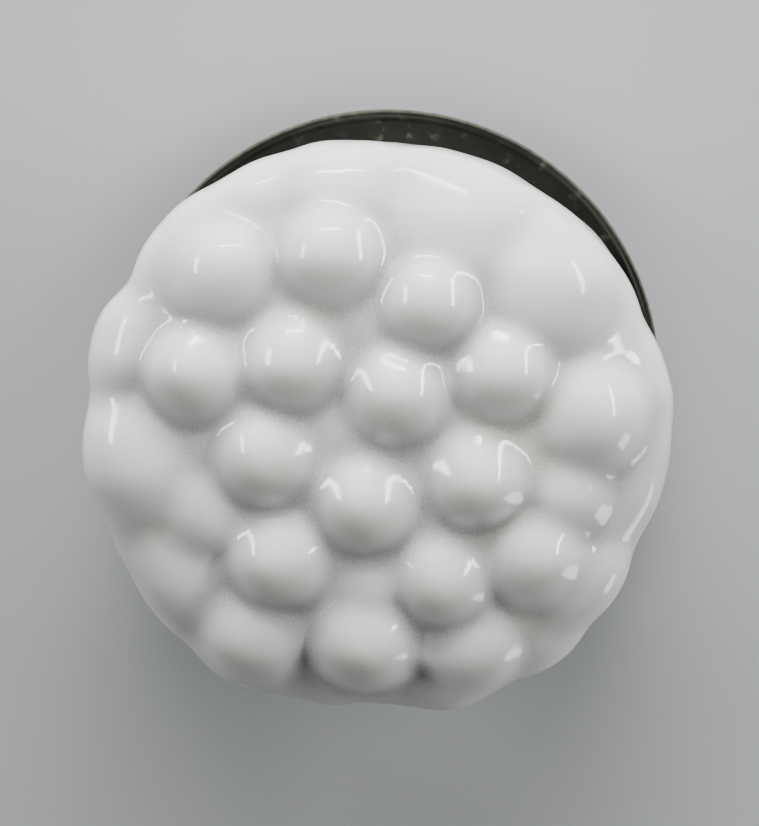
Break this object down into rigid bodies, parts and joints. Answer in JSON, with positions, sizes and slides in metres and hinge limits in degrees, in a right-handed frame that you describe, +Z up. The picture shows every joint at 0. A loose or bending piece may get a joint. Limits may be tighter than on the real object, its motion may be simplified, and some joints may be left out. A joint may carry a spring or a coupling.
{
  "type": "flower frog",
  "caption": "Covered pin-holder flower frog: a hollow white glazed cover shaped like a heap of pebbles lifts off a dark spun brass dish with a pin holder in its well.",
  "frame": {"origin": "centre of the felt pad's underside, which the part stands on", "axes": "+Z up through the pebbled crown, square to the dish's flange; +X and +Y lie in the flange's plane, and the cover's pebbles are placed by them"},
  "size_m": [0.0898, 0.0877, 0.0649],
  "materials": {
    "glaze": "white opaque gloss glaze, fully smooth, unglazed off-white foot ring",
    "silicone": "moulded milky silicone",
    "patinated_brass": "spun brass sheet with a dark olive-grey chemical patina, rubbed bright along the rolled edge",
    "wire_brass": "drawn brass wire, dull",
    "pin_brass": "bright drawn brass pins and plate, lightly tarnished",
    "lead": "cast lead, dull grey oxide",
    "sleeve_rubber": "moulded black rubber",
    "putty": "green florist's putty, waxy",
    "felt": "pressed green wool felt"
  },
  "bodies": {
    "dish": {"base_dish": "patinated_brass", "rim_wire": "wire_brass", "felt_pad": "felt", "setting_putty": "putty", "lead_weight": "lead", "pin_bed": "pin_brass", "rubber_sleeve": "sleeve_rubber"},
    "cover": {"glazed_cover": "glaze", "cover_gasket": "silicone"}
  },
  "joints": [
    {"name": "cover_lift", "type": "slide", "parent": "dish", "child": "cover", "axis": [0, 0, 1], "range_m": [0, 0.08]}
  ]
}
